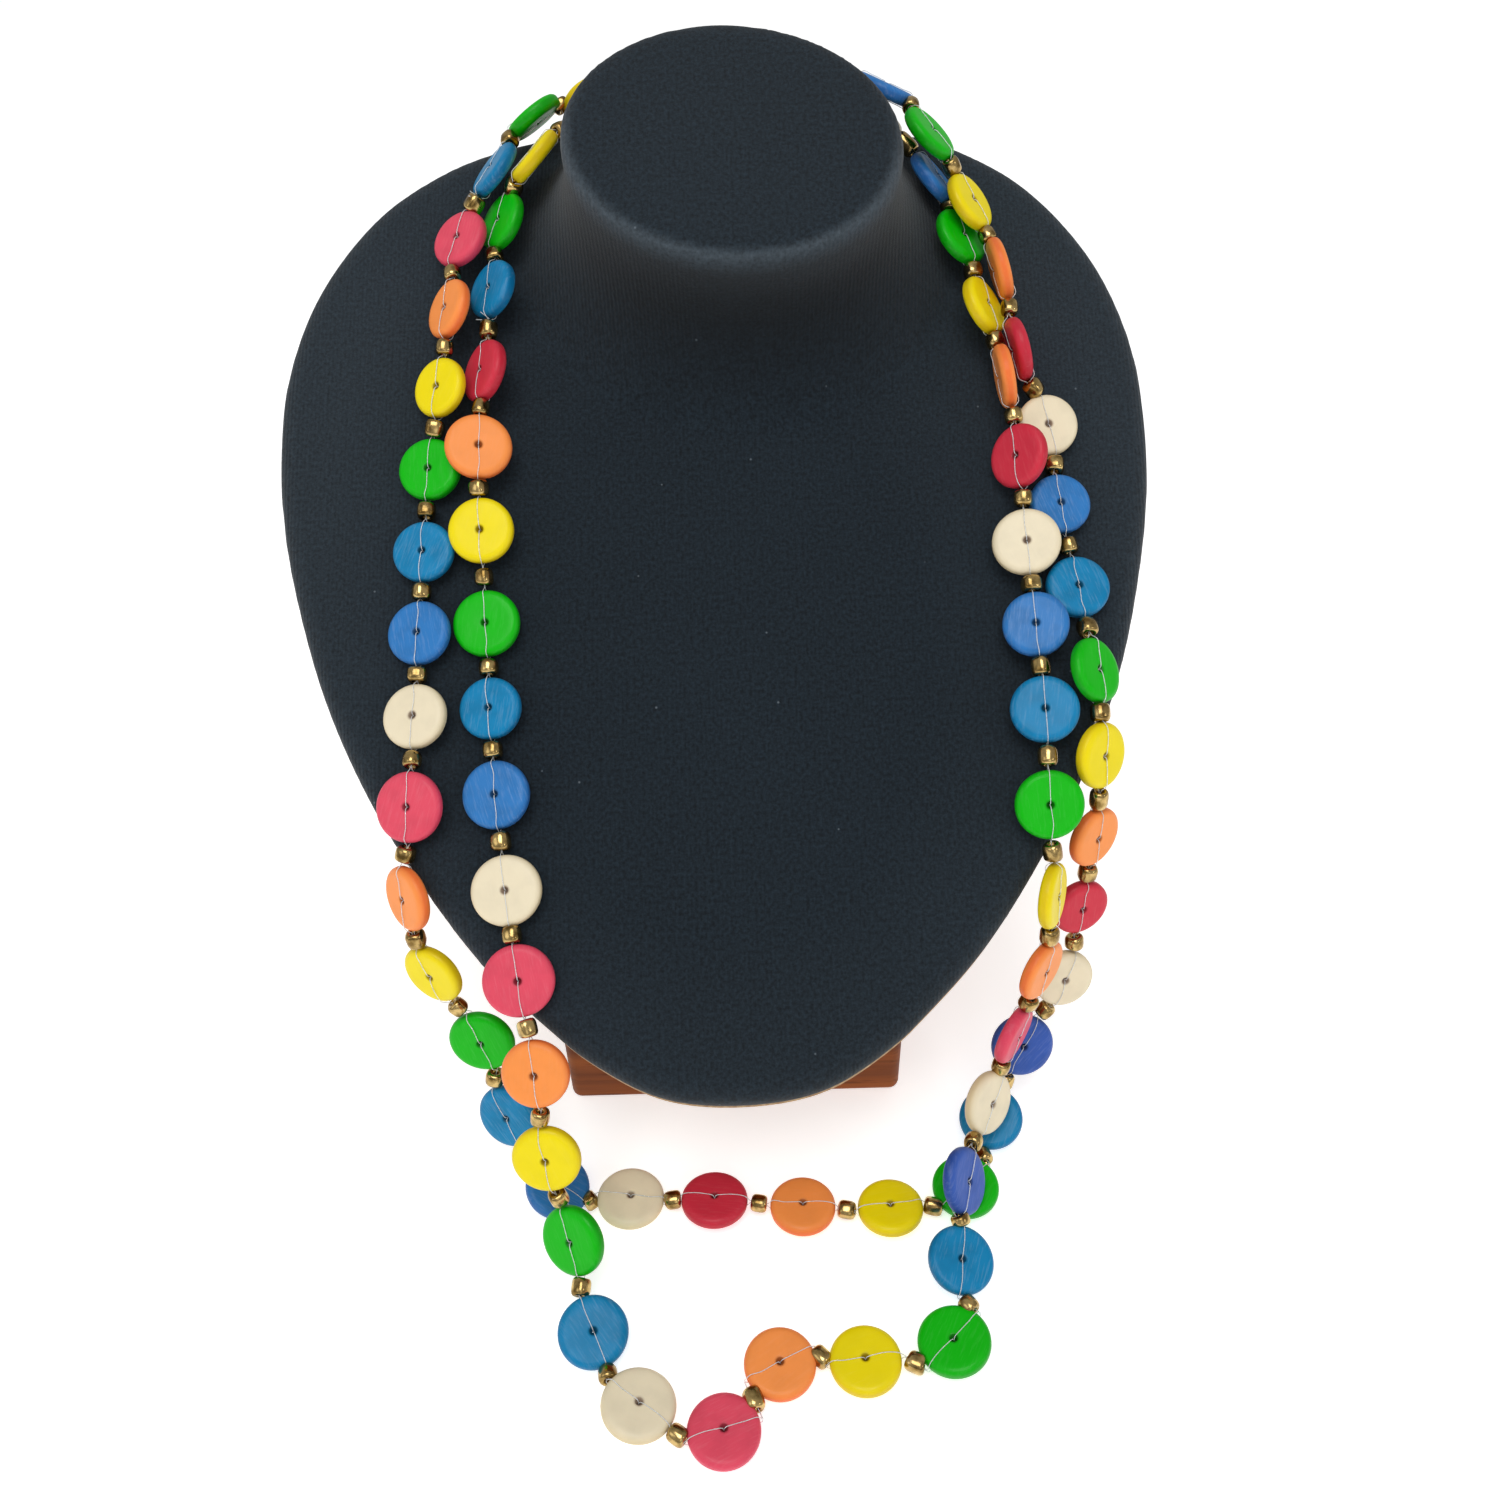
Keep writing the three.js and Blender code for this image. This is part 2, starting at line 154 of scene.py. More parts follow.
# Each disc's dye, its turn about the thread in degrees, and its share of the usual diameter
FIRST_CHART = [
    ("orange", 90, 0.95),
    ("yellow", 84, 0.95),
    ("green", 64, 0.97),
    ("teal", 52, 0.95),
    ("pink", 26, 0.92),
    ("orange", 44, 0.92),
    ("yellow", 28, 0.91),
    ("green", 8, 0.94),
    ("teal", 6, 0.92),
    ("blue", 12, 0.95),
    ("cream", 12, 0.95),
    ("pink", 14, 1.0),
    ("orange", 46, 0.96),
    ("yellow", 40, 0.96),
    ("green", 20, 1.0),
    ("teal", 30, 0.99),
    ("blue", 0, 0.98),
    ("cream", -4, 1.02),
    ("red", -10, 1.0),
    ("orange", -6, 0.98),
    ("yellow", -8, 0.98),
    ("green", 0, 1.0),
    ("teal", 0, 0.98),
    ("indigo", 16, 0.99),
    ("cream", 20, 0.94),
    ("red", 22, 0.9),
    ("orange", 36, 0.93),
    ("yellow", 36, 0.95),
    ("green", 38, 0.95),
    ("teal", 2, 0.93),
    ("blue", 2, 0.9),
    ("cream", 2, 0.92),
    ("red", 83, 0.95),
    ("orange", 80, 0.94),
    ("yellow", 44, 0.93),
    ("green", 47, 0.95),
    ("blue", 52, 0.95),
    ("cream", 82, 0.95),
    ("pink", 90, 0.95),
]
SECOND_CHART = [
    ("red", 88, 0.95),
    ("orange", 78, 0.95),
    ("yellow", 58, 0.94),
    ("green", 42, 0.91),
    ("teal", 40, 0.91),
    ("red", 46, 0.95),
    ("orange", -12, 0.98),
    ("yellow", 4, 0.97),
    ("green", 6, 0.98),
    ("teal", 10, 0.91),
    ("blue", 8, 0.98),
    ("cream", 6, 1.0),
    ("pink", 0, 1.0),
    ("orange", 10, 0.96),
    ("yellow", 10, 0.98),
    ("green", 32, 1.01),
    ("teal", 0, 0.98),
    ("cream", -10, 1.02),
    ("pink", -2, 0.99),
    ("orange", 3, 0.99),
    ("yellow", -4, 0.99),
    ("green", -8, 1.01),
    ("teal", 10, 0.96),
    ("indigo", 46, 0.97),
    ("cream", 46, 0.98),
    ("pink", 66, 0.94),
    ("orange", 54, 0.95),
    ("yellow", 62, 0.96),
    ("green", -4, 0.97),
    ("teal", -6, 0.97),
    ("blue", -10, 0.95),
    ("cream", -8, 0.99),
    ("red", -48, 0.95),
    ("orange", 82, 0.94),
    ("yellow", 50, 0.93),
    ("green", 38, 0.93),
    ("blue", 54, 0.93),
    ("cream", 50, 0.95),
    ("pink", 80, 0.95),
    ("orange", 90, 0.95),
]

# Sizes shared with the part's source

DISC_DIAMETER = 15
DISC_THICKNESS = 3.2
HOLE_DIAMETER = 1.6
SPACER_DIAMETER = 4.4
BOARD_WIDTH = 198
BOARD_LENGTH = 232
BOARD_THICKNESS = 12
BOARD_EDGE = 4
BOARD_SLOPE = math.radians(38.4)
BOARD_TURN = math.radians(1.2)
APEX_HEIGHT = 44.5
APEX_REACH = 89.3
NECK_RISE = 40
CAP_WIDTH = 71
CAP_FRONT = 166
CAP_BACK = 220.6
NECK_SHIFT = 5.4
NECK_TURN = math.radians(-8)
SIDE_FLARE = 15
FRONT_FLARE = 17
BACK_FLARE = 12
FLARE_CURVE = 3.2
BACK_FLARE_CURVE = 1.3
PANEL_THICKNESS = 2
PANEL_LIP = 0.8
FOOT_WIDTH = 80
FOOT_DEPTH = 110
SEAT_GAP = 0.3

# Half outline of the board from its lowest point: distance up the slope, and half width, as shares
BOARD_OUTLINE = [
    (0.0, 0.0), (0.01, 0.173), (0.046, 0.325), (0.073, 0.4), (0.122, 0.518), (0.183, 0.63),
    (0.285, 0.78), (0.384, 0.884), (0.483, 0.952), (0.56, 0.987), (0.638, 1.0), (0.715, 0.988),
    (0.793, 0.936), (0.853, 0.858), (0.902, 0.76), (0.936, 0.648), (0.957, 0.545), (0.978, 0.36),
    (1.0, 0.0),
]

# From the bust's own directions, across, up the slope and out of its face, to the row frame
BUST_PLACE = Matrix.Translation((0, -APEX_REACH, APEX_HEIGHT))
BUST_FRAME = BUST_PLACE @ Matrix.Rotation(BOARD_SLOPE, 4, "X")
BUST_NORMAL = BUST_FRAME.to_3x3() @ Vector((0, 0, 1))


# Helpers for materials

WHITE = (1, 1, 1, 1)


def linear(hex_colour):
    """An sRGB hex colour as linear RGBA."""
    parts = [int(hex_colour[i:i + 2], 16) / 255 for i in (1, 3, 5)]
    return (*[p / 12.92 if p <= 0.04045 else ((p + 0.055) / 1.055) ** 2.4 for p in parts], 1)


def add(tree, kind, values=(), **options):
    """Adds a node. options are its settings, and values its inputs: numbers, colours or links."""
    node = tree.nodes.new(kind)
    for name, option in options.items():
        setattr(node, name, option)
    for name, value in dict(values).items():
        if isinstance(value, bpy.types.NodeSocket):
            tree.links.new(value, node.inputs[name])
        else:
            node.inputs[name].default_value = value
    return node


def blank_material(name):
    """A material with its shader: returns the material, its node tree and the shader node."""
    material = bpy.data.materials.new(name)
    material.use_nodes = True
    shader = material.node_tree.nodes["Principled BSDF"]
    return material, material.node_tree, shader


def finish_shader(tree, shader, varied, uniform):
    """Links what varies over the surface into the shader, and sets what is the same all over."""
    for name, source in varied.items():
        tree.links.new(source, shader.inputs[name])
    for name, value in uniform.items():
        shader.inputs[name].default_value = value


def attribute(tree, name, output="Fac"):
    """What the mesh itself says at each point."""
    return add(tree, "ShaderNodeAttribute", attribute_name=name).outputs[output]


def object_place(tree):
    """The place on the object, in metres."""
    return add(tree, "ShaderNodeTexCoord").outputs["Object"]


def stretched(tree, place, scale):
    """The place in spots of a pattern: scale is how many fit in a unit of length, on each axis."""
    return add(tree, "ShaderNodeMapping", {"Vector": place, "Scale": scale}).outputs["Vector"]


def noise(tree, place, scale, detail=2.0, roughness=0.5, distortion=0.0):
    """Cloudy noise around 0.5; scale is how many spots fit in a unit of length."""
    values = {"Vector": place, "Scale": scale, "Detail": detail}
    values.update({"Roughness": roughness, "Distortion": distortion})
    return add(tree, "ShaderNodeTexNoise", values).outputs["Fac"]


def span(tree, value, found=(0, 1), given=(0, 1)):
    """Takes value from the span found to the span given, and holds it at the ends."""
    values = {"Value": value, "From Min": found[0], "From Max": found[1]}
    values.update({"To Min": given[0], "To Max": given[1]})
    return add(tree, "ShaderNodeMapRange", values).outputs["Result"]


def maths(tree, operation, *numbers):
    """One step of arithmetic on numbers or links."""
    return add(tree, "ShaderNodeMath", dict(enumerate(numbers)), operation=operation).outputs["Value"]


def ramp(tree, factor, low, high, stops):
    """Blends from low to high as factor goes between the stops."""
    node = add(tree, "ShaderNodeValToRGB", {"Fac": factor})
    for element, place, colour in zip(node.color_ramp.elements, stops, (low, high)):
        element.position = place
        element.color = colour
    return node.outputs["Color"]


def mix(tree, factor, first, second, blend="MIX"):
    """Blends two colours: first at factor 0, second at 1. The colour sockets go by number, because
    the node has sockets of the same names for other kinds of value."""
    values = {0: factor, 6: first, 7: second}
    return add(tree, "ShaderNodeMix", values, data_type="RGBA", blend_type=blend).outputs[2]


def relief(tree, height, strength, depth):
    """Fine relief, with its depth in metres."""
    values = {"Height": height, "Strength": strength, "Distance": depth}
    return add(tree, "ShaderNodeBump", values).outputs["Normal"]


# Helpers for meshes and pieces


def ring_faces(base, rows, sides, closed):
    """Faces between rings of points from number base on; closed joins the last ring to the first."""
    faces = []
    for row in range(rows if closed else rows - 1):
        here = base + row * sides
        there = base + (row + 1) % rows * sides
        for k in range(sides):
            after = (k + 1) % sides
            faces.append((here + k, here + after, there + after, there + k))
    return faces


def link_object(name, data):
    thing = bpy.data.objects.new(name, data)
    bpy.context.collection.objects.link(thing)
    return thing


def smooth(mesh):
    mesh.polygons.foreach_set("use_smooth", [True] * len(mesh.polygons))
    mesh.update()


def hand_in(piece, replaced):
    """Makes the piece ride with the one body, and hides the parts that it replaces."""
    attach(piece, "root")
    if replaced:
        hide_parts(*replaced)


def add_piece(name, points, faces, materials, replaced=(), finishes=None, fields=None):
    """A smooth mesh piece from points in mm in the row frame. finishes is each face's material
    number, and fields holds values of the points for the materials, by name."""
    mesh = bpy.data.meshes.new(name)
    mesh.from_pydata([Vector(p) * MM for p in points], [], faces)
    for material in materials:
        mesh.materials.append(material)
    if finishes:
        mesh.polygons.foreach_set("material_index", finishes)
    for field, values in (fields or {}).items():
        add_field(mesh, field, values)
    smooth(mesh)
    hand_in(link_object(name, mesh), replaced)


def add_field(mesh, name, values):
    """Gives each point of the mesh a number or a vector."""
    if isinstance(values[0], Vector):
        layer = mesh.attributes.new(name, "FLOAT_VECTOR", "POINT")
        layer.data.foreach_set("vector", [c for v in values for c in v])
    else:
        layer = mesh.attributes.new(name, "FLOAT", "POINT")
        layer.data.foreach_set("value", values)


# Finishes of the necklace

DYES = {
    # name: face, rim, how strongly the dye is blotched
    "green": ("#03B603", "#0B9F0C", 0.08),
    "yellow": ("#EFDA04", "#DDC00C", 0.07),
    "orange": ("#F7944A", "#EC7437", 0.09),
    "pink": ("#E04C62", "#DB4560", 0.16),
    "red": ("#CE3144", "#BE283A", 0.10),
    "teal": ("#067FB2", "#0A6A9B", 0.28),
    "blue": ("#2F78BC", "#2764A8", 0.3),
    "indigo": ("#3A5DB0", "#2E509E", 0.26),
    "cream": ("#EADDBF", "#DCCAA2", 0.12),
}
# The dye's colour is multiplied by these in a blotch, and in the hole as painted shade
BLOTCH_TINT = (0.62, 0.62, 0.62, 1)
# Painted shade inside the hole
HOLE_PAINTED_SHADE = (0.34, 0.28, 0.28, 1)
# How much white the wax leaves on the grain, and how far blotches and grain go for a dye's number
WAX_WHITE = 0.16
BLOTCH_FORCE = 1.6
GRAIN_FORCE = 1.3


def dyed_wood(dye):
    """Hardwood, sliced, tumbled, dyed and waxed: satin, with fine grain, blotches where the dye took
    unevenly, a darker rim where the end grain drank more, and painted shade in the hole."""
    face, rim, blotch = DYES[dye]
    material, tree, shader = blank_material(f"dyed_wood_{dye}")
    place = attribute(tree, "grain", "Vector")
    # The place is in mm: grain lines 0.4 mm apart and about 4 mm long, and clouds about 5 mm wide
    grain = noise(tree, stretched(tree, place, (0.25, 1.0, 2.4)), 1.0, 4.0, 0.62)
    cloud = noise(tree, place, 0.22, 3.0)
    body = mix(tree, attribute(tree, "rim"), linear(face), linear(rim))
    deep = mix(tree, 1.0, body, BLOTCH_TINT, "MULTIPLY")
    pale = mix(tree, WAX_WHITE, body, WHITE)
    # The dye darkened as painted shade for the inside of the hole
    hole = mix(tree, 1.0, body, HOLE_PAINTED_SHADE, "MULTIPLY")
    colour = mix(tree, span(tree, cloud, (0.42, 0.7), (0, blotch * BLOTCH_FORCE)), body, deep)
    colour = mix(tree, span(tree, grain, (0.5, 0.72), (0, blotch * GRAIN_FORCE)), colour, pale)
    # Painted shade inside the hole, deepest furthest in
    colour = mix(tree, attribute(tree, "bore"), colour, hole)
    varied = {
        "Base Color": colour,
        "Roughness": span(tree, grain, given=(0.38, 0.52)),
        "Normal": relief(tree, grain, 0.12, 0.00015),
    }
    uniform = {"IOR": 1.5, "Specular IOR Level": 0.15, "Coat Weight": 0.12, "Coat Roughness": 0.16}
    finish_shader(tree, shader, varied, uniform)
    return material


def antique_gold():
    """Cast brass beads in antique gold plate: glossy, with browner plate in the hollows."""
    material, tree, shader = blank_material("antique_gold_plate")
    place = object_place(tree)
    # Stains about 2.4 mm wide, and shallow dents about 2 mm wide
    stain = noise(tree, place, 420.0, 3.0)
    dents = noise(tree, place, 500.0, 1.0)
    varied = {
        "Base Color": ramp(tree, stain, linear("#7A6134"), linear("#C9AC70"), (0.36, 0.62)),
        "Roughness": span(tree, stain, given=(0.26, 0.15)),
        "Normal": relief(tree, dents, 0.05, 0.0003),
    }
    finish_shader(tree, shader, varied, {"Metallic": 1.0})
    return material


def clear_nylon():
    """Drawn nylon monofilament: clear, with a few glints along its length. It reflects less than
    nylon does, so that it stays faint on the discs."""
    material, tree, shader = blank_material("clear_nylon")
    kinks = noise(tree, object_place(tree), 500.0)
    varied = {"Roughness": span(tree, kinks, given=(0.15, 0.4))}
    uniform = {"Base Color": linear("#F3F6F8"), "IOR": 1.35, "Transmission Weight": 0.4}
    finish_shader(tree, shader, varied, uniform)
    return material


# Where the discs are: the same curve and the same turns as in the part's source


def curve_point(points, place):
    """A point on the open centripetal Catmull-Rom curve through points; place goes from 0 to 1."""
    reach = (len(points) - 1) * place
    start = min(int(reach), len(points) - 2)
    share = reach - start
    before, after = points[start], points[start + 1]
    first = points[start - 1] if start > 0 else 2 * before - after
    last = points[start + 2] if start + 2 < len(points) else 2 * after - before
    gaps = [math.sqrt((b - a).length) for a, b in ((first, before), (before, after), (after, last))]
    leave = (before - first) / gaps[0] - (after - first) / (gaps[0] + gaps[1])
    leave = (leave + (after - before) / gaps[1]) * gaps[1]
    enter = (after - before) / gaps[1] - (last - before) / (gaps[1] + gaps[2])
    enter = (enter + (last - after) / gaps[2]) * gaps[1]
    return (
        before
        + leave * share
        + (3 * (after - before) - 2 * leave - enter) * share**2
        + (2 * (before - after) + leave + enter) * share**3
    )


def disc_places(route):
    """The middle of each disc; a row that carries several discs spreads them up to the next row."""
    points = [Vector(row[:3]) for row in route]
    spans = len(route) - 1
    return [
        curve_point(points, min((i + k / max(row[3], 1)) / spans, 1))
        for i, row in enumerate(route)
        for k in range(max(row[3], 1))
    ]


def stations_of(route, chart):
    """Each disc's place, thread direction, face direction, radius and dye."""
    places = disc_places(route)
    stations = []
    for i, (place, (dye, turn, share)) in enumerate(zip(places, chart)):
        thread = (places[min(i + 1, len(places) - 1)] - places[max(i - 1, 0)]).normalized()
        lies = place.z < DISC_DIAMETER / 2
        side = thread.cross(Vector((0, 0, 1)) if lies else BUST_NORMAL).normalized()
        face = side.cross(thread)
        face.rotate(Quaternion(thread, math.radians(turn)))
        radius = share * DISC_DIAMETER / 2
        stations.append({"place": place, "thread": thread, "face": face, "radius": radius, "dye": dye})
    return stations


# The discs

DISC_SIDES = 56
# The tumbled edge: how far it reaches into the face and down the rim, and the angles of its steps
EDGE_REACH = 1.5
EDGE_DROP = 1.25
EDGE_STEPS = [math.radians(a) for a in (0, 18, 36, 54, 72, 90)]
# The hole's mouth, from inside: share of the hole's radius, distance beyond that, depth under the
# face, and how much painted shade darkens it. The hole narrows inwards, where the two strands fill it.
HOLE_MOUTH = [
    (0.35, 0, 0.75, 1),
    (0.85, 0, 0.6, 1),
    (1, 0, 0.15, 0.8),
    (1, 0.2, 0.02, 0.3),
    (1, 0.5, 0, 0),
]
# The last ring of the flat face, as a share of the disc's radius
FLAT_SHARE = 0.7
# How the discs differ: thickness as a share, and how much an oval one is narrower
THICKNESS_SPREAD = (0.93, 1.0)
OVAL_SPREAD = (0.004, 0.014)
# Each disc is cut from its own place in the wood, within these mm, with its grain turned this much
WOOD_REACH = 300
GRAIN_TURN = 0.35


def disc_section(radius, half):
    """Closed section as (radius, height, rim, hole shade): the last two say which surface it is, and the
    last how much painted shade darkens the hole.
    """
    hole = HOLE_DIAMETER / 2
    upper = [(hole * share + beyond, half - depth, 0, bore) for share, beyond, depth, bore in HOLE_MOUTH]
    upper.append((radius * FLAT_SHARE, half, 0, 0))
    for angle in EDGE_STEPS:
        out = radius - EDGE_REACH * (1 - math.sin(angle))
        lift = half - EDGE_DROP * (1 - math.cos(angle))
        upper.append((out, lift, (angle / EDGE_STEPS[-1]) ** 2, 0))
    lower = [(r, -h, rim, bore) for r, h, rim, bore in reversed(upper)]
    return upper + lower


def disc_mesh(station, points, faces, fields):
    """Adds one disc, a little out of true as hand-sliced ones are, and returns how many faces."""
    thread, face = station["thread"], station["face"]
    disc_frame = Matrix((thread, face, thread.cross(face))).transposed()
    half = DISC_THICKNESS / 2 * rng.uniform(*THICKNESS_SPREAD)
    lean = rng.uniform(0, math.tau)
    oval = rng.uniform(*OVAL_SPREAD)
    shift = Vector([rng.uniform(-WOOD_REACH, WOOD_REACH) for _ in range(3)])
    grain_turn = Quaternion((0, 1, 0), rng.uniform(-GRAIN_TURN, GRAIN_TURN))
    section = disc_section(station["radius"], half)
    made = ring_faces(len(points), len(section), DISC_SIDES, True)
    for radius, height, rim, bore in section:
        for k in range(DISC_SIDES):
            angle = math.tau * k / DISC_SIDES
            reach = radius * (1 - oval * (1 + math.cos(2 * (angle - lean))) / 2)
            local = Vector((reach * math.cos(angle), height, reach * math.sin(angle)))
            points.append(station["place"] + disc_frame @ local)
            fields["grain"].append(grain_turn @ local + shift)
            fields["rim"].append(rim)
            # How much painted shade the hole gets at this point
            fields["bore"].append(bore)
    faces += made
    return len(made)


def make_discs(name, node, stations):
    dyes = sorted({station["dye"] for station in stations})
    points, faces, finishes = [], [], []
    fields = {"grain": [], "rim": [], "bore": []}
    for station in stations:
        finishes += [dyes.index(station["dye"])] * disc_mesh(station, points, faces, fields)
    materials = [wood[dye] for dye in dyes]
    add_piece(name, points, faces, materials, [node], finishes, fields)


# The spacers

SPACER_SIDES = 24
# A spacer's section, from one mouth to the other: share of its radius, share of its half length
SPACER_SECTION = [(0.36, -0.88), (0.56, -1.0), (0.76, -0.95), (0.9, -0.8), (0.98, -0.55), (1.0, -0.2),
                  (1.0, 0.2), (0.98, 0.55), (0.9, 0.8), (0.76, 0.95), (0.56, 1.0), (0.36, 0.88)]
# Rings smaller than this share stay round: they are the mouth
MOUTH_SHARE = 0.5
# How the spacers differ. Gaps wider than WIDE_GAP get longer spacers; 2 is round, more is squarer.
SPACER_LENGTHS = (3.3, 4.1)
WIDE_GAP = 6.2
WIDE_GAP_STRETCH = 1.35
LEAST_PLAY = 0.2
SPACER_SHIFT = 0.12
SPACER_TURN = 1.5
SPACER_SQUARENESS = (2.0, 2.9)
SPACER_GIRTH = (0.88, 1.0)
SPACER_SKEW = 0.12
SPACER_FIT = 0.97


def spacer_mesh(start, end, points, faces):
    """Adds one cast spacer between two rims; some are squarer than others."""
    along = (end - start).normalized()
    gap = (end - start).length
    stretch = WIDE_GAP_STRETCH if gap > WIDE_GAP else 1
    length = min(gap - LEAST_PLAY, rng.uniform(*SPACER_LENGTHS) * stretch)
    middle = (start + end) / 2 + along * rng.uniform(-SPACER_SHIFT, SPACER_SHIFT)
    spin = Quaternion((0, 0, 1), rng.uniform(0, SPACER_TURN))
    turn = Vector((0, 0, 1)).rotation_difference(along) @ spin
    square = rng.uniform(*SPACER_SQUARENESS)
    radius = SPACER_DIAMETER / 2 * rng.uniform(*SPACER_GIRTH)
    skew = rng.uniform(-SPACER_SKEW, SPACER_SKEW)
    faces += ring_faces(len(points), len(SPACER_SECTION), SPACER_SIDES, True)
    for share, height in SPACER_SECTION:
        for k in range(SPACER_SIDES):
            angle = math.tau * k / SPACER_SIDES
            across, up = math.cos(angle), math.sin(angle)
            squared = (abs(across) ** square + abs(up) ** square) ** (-1 / square)
            reach = share * radius * (squared if share > MOUTH_SHARE else 1) * SPACER_FIT
            lift = height * (1 + skew * across) * length / 2
            points.append(middle + turn @ Vector((reach * across, reach * up, lift)))


def rim_point(station, way):
    """Where the thread meets the disc's rim: way is 1 for the far side, -1 for the near side."""
    return station["place"] + station["thread"] * way * station["radius"]


def make_spacers(name, node, stations, next_station):
    points, faces = [], []
    for here, there in zip(stations, [*stations[1:], next_station]):
        spacer_mesh(rim_point(here, 1), rim_point(there, -1), points, faces)
    add_piece(name, points, faces, [gold], [node])


# The thread: two strands share each spacer, pass a disc on opposite faces and change sides in its
# hole, so each face shows one strand from the spacer to the hole and one from the hole onwards.

THREAD_RADIUS = 0.09
THREAD_SIDES = 6
THREAD_STEPS = 4
# The strand's middle above the face, and how far it may lie to one side of the straight line
THREAD_LIFT = 0.14
THREAD_SLACK = 0.4
# A strand from the spacer to the hole: share of the disc's radius and distance beyond that, share
# of the height above the disc's middle and distance beyond that, and share of the slack
STRAND_LEG = [
    (1, 0.6, 0, 0.35, 0),
    (1, 0.1, 1, -0.75, 0),
    (1, -0.75, 1, 0, 0),
    (0.6, 0, 1, 0, 1),
    (0.3, 0, 1, 0, 0.6),
    (0, 0.3, 1, -0.3, 0),
]


def strand_points(stations, way):
    """The points of one strand; way says on which face it comes in."""
    route = []
    rise = DISC_THICKNESS / 2 + THREAD_LIFT
    for station in stations:
        slack = rng.uniform(-THREAD_SLACK, THREAD_SLACK)
        for end, face_way in ((-1, way), (1, -way)):
            out = station["thread"] * end
            up = station["face"] * face_way
            side = station["thread"].cross(station["face"]) * slack * end
            leg = [
                station["place"]
                + out * (station["radius"] * share + beyond)
                + up * (rise * high + above)
                + side * sway
                for share, beyond, high, above, sway in STRAND_LEG
            ]
            route += leg if end < 0 else leg[::-1]
    return route


def tube_mesh(route, points, faces):
    """Adds a closed length of thread along the points of a route."""
    spans = (len(route) - 1) * THREAD_STEPS
    line = [curve_point(route, i / spans) for i in range(spans + 1)]
    base = len(points)
    # Any direction that no part of the thread follows
    side = Vector((0.31, 0.52, 0.79))
    for i, point in enumerate(line):
        along = (line[min(i + 1, spans)] - line[max(i - 1, 0)]).normalized()
        side = (side - along * side.dot(along)).normalized()
        other = along.cross(side)
        for k in range(THREAD_SIDES):
            angle = math.tau * k / THREAD_SIDES
            points.append(point + (side * math.cos(angle) + other * math.sin(angle)) * THREAD_RADIUS)
    faces += ring_faces(base, spans + 1, THREAD_SIDES, False)
    faces.append(tuple(base + k for k in reversed(range(THREAD_SIDES))))
    faces.append(tuple(base + spans * THREAD_SIDES + k for k in range(THREAD_SIDES)))


# Cut ends of the knots: disc number, direction across and along, length
FIRST_TAILS = [(3, -0.8, 0.5, 3.2), (3, -0.3, 0.9, 2.4)]
SECOND_TAILS = [(4, 0.9, 0.3, 2.6), (4, 0.5, -0.6, 2.0)]
# How far a knot is from its disc, how steeply its ends rise and how far they curl up
KNOT_GAP = 0.4
TAIL_RISE = 0.8
TAIL_CURL = 0.5


def tail_points(station, across, along, length):
    """The points of one cut end, from its knot outwards."""
    start = rim_point(station, 1) + station["thread"] * KNOT_GAP
    side = station["thread"].cross(station["face"])
    lean = side * across + station["thread"] * along + station["face"] * TAIL_RISE
    reach = lean.normalized() * length
    return [start, start + reach / 2, start + reach + station["face"] * TAIL_CURL]


def make_thread(name, stations, next_station, tails):
    points, faces = [], []
    for way in (1, -1):
        tube_mesh([*strand_points(stations, way), rim_point(next_station, -1)], points, faces)
    for number, across, along, length in tails:
        tube_mesh(tail_points(stations[number], across, along, length), points, faces)
    add_piece(name, points, faces, [nylon])


first_stations = stations_of(FIRST_ROUTE, FIRST_CHART)
second_stations = stations_of(SECOND_ROUTE, SECOND_CHART)

wood = {dye: dyed_wood(dye) for dye in DYES}
gold = antique_gold()
nylon = clear_nylon()

make_discs("first_round_discs", "first_round", first_stations)
make_discs("second_round_discs", "second_round", second_stations)
make_spacers("first_round_spacers", "first_round", first_stations, second_stations[0])
make_spacers("second_round_spacers", "second_round", second_stations, first_stations[0])
make_thread("first_round_thread", first_stations, second_stations[0], FIRST_TAILS)
make_thread("second_round_thread", second_stations, first_stations[0], SECOND_TAILS)


# The bust: a cloth-covered board and neck, joined in one skin

OUTLINE_STEPS = 260
OUTLINE_TRIALS = 2000
EDGE_ANGLES = [math.radians(a) for a in (0, 30, 60, 90)]
SKIN_VOXEL = 1.45 * MM
SKIN_SMOOTHING = 0.5
SKIN_ROUNDS = 6
NECK_SIDES = 96
# Heights of the neck's rings, as shares of its rise: the first one lies inside the board
NECK_STEPS = [
    -0.2, 0, 0.03, 0.06, 0.1, 0.15, 0.2, 0.27, 0.35, 0.45, 0.56, 0.68, 0.8, 0.9, 0.955, 0.985, 1,
]
CAP_EDGE = 2.2
CAP_MIDDLE = (CAP_FRONT + CAP_BACK) / 2


def closed_curve_point(points, place):
    """A point on the closed centripetal curve through points: the middle one of the five spans
    between the six points around it."""
    count = len(points)
    reach = count * place
    start = int(reach) % count
    near = [points[(start + i) % count] for i in range(-2, 4)]
    return curve_point(near, (2 + reach - int(reach)) / 5)


def even_steps(loop):
    """Points at equal distances along the closed curve through loop."""
    fine = [closed_curve_point(loop, i / OUTLINE_TRIALS) for i in range(OUTLINE_TRIALS)]
    lengths = [0.0]
    for a, b in zip(fine, fine[1:] + fine[:1]):
        lengths.append(lengths[-1] + (b - a).length)
    points, j = [], 0
    for i in range(OUTLINE_STEPS):
        target = lengths[-1] * i / OUTLINE_STEPS
        while lengths[j + 1] < target:
            j += 1
        share = (target - lengths[j]) / (lengths[j + 1] - lengths[j])
        points.append(fine[j].lerp(fine[(j + 1) % OUTLINE_TRIALS], share))
    return points


